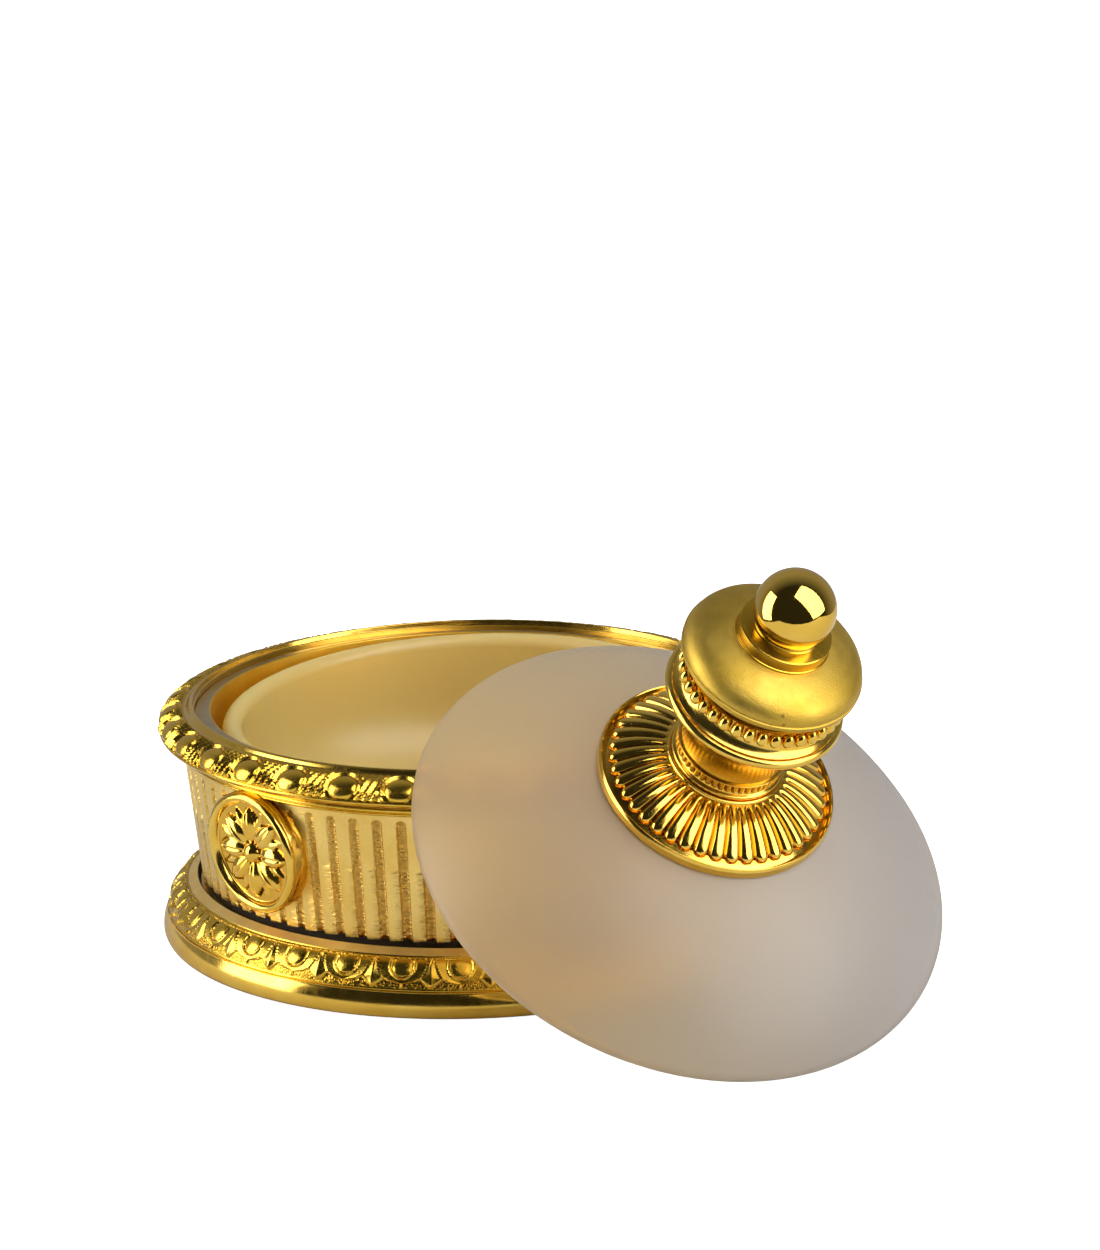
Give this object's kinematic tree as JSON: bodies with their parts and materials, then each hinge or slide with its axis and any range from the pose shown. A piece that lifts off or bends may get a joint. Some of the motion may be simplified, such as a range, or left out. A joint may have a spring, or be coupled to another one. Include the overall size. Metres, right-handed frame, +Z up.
{
  "type": "covered vanity dish",
  "caption": "Round gilt dish with a fluted drum, a loose frosted glass liner and a frosted glass lid with a turned knob, lid leaning on the rim.",
  "frame": {"origin": "centre of the dish's lower face, on the table", "axes": "+Z up along the dish's own axis; the lid leans on the side between +X and -Y"},
  "size_m": [0.1463, 0.1618, 0.0924],
  "materials": {
    "gold_polished": "polished gold plate",
    "gold_satin": "satin gold plate",
    "steel": "plain",
    "frosted_liner": "acid-etched",
    "frosted_lid": "acid-etched",
    "soft_ring": "matt",
    "clear_dot": "clear soft",
    "felt": "felt"
  },
  "bodies": {
    "dish": {"foot_ring": "gold_polished", "drum": "gold_satin", "rim_ring": "gold_polished", "inner_sleeve": "gold_polished", "sleeve_floor": "gold_polished", "medallion_1": "gold_polished", "medallion_2": "gold_polished", "medallion_3": "gold_polished", "medallion_4": "gold_polished", "medallion_pins": "steel", "base_plate": "steel", "centre_screw": "steel", "lock_washer": "steel", "felt_pad": "felt", "liner_pads": "clear_dot"},
    "liner": {"glass_liner": "frosted_liner"},
    "lid": {"glass_lid": "frosted_lid", "upper_gasket": "soft_ring", "lower_gasket": "soft_ring", "rosette": "gold_polished", "reeded_collar": "gold_polished", "neck": "gold_satin", "bead_plate": "gold_polished", "bead_ring": "gold_polished", "cap_dome": "gold_satin", "ball_collar": "gold_polished", "ball_finial": "gold_polished", "threaded_stud": "steel", "washer": "steel", "cap_nut": "gold_polished"}
  },
  "joints": [
    {"name": "lid_lift", "type": "slide", "parent": "dish", "child": "lid", "axis": [0.284, -0.5072, 0.8137], "range_m": [0, 0.1]},
    {"name": "liner_lift", "type": "slide", "parent": "dish", "child": "liner", "axis": [0, 0, 1], "range_m": [0, 0.005]}
  ]
}
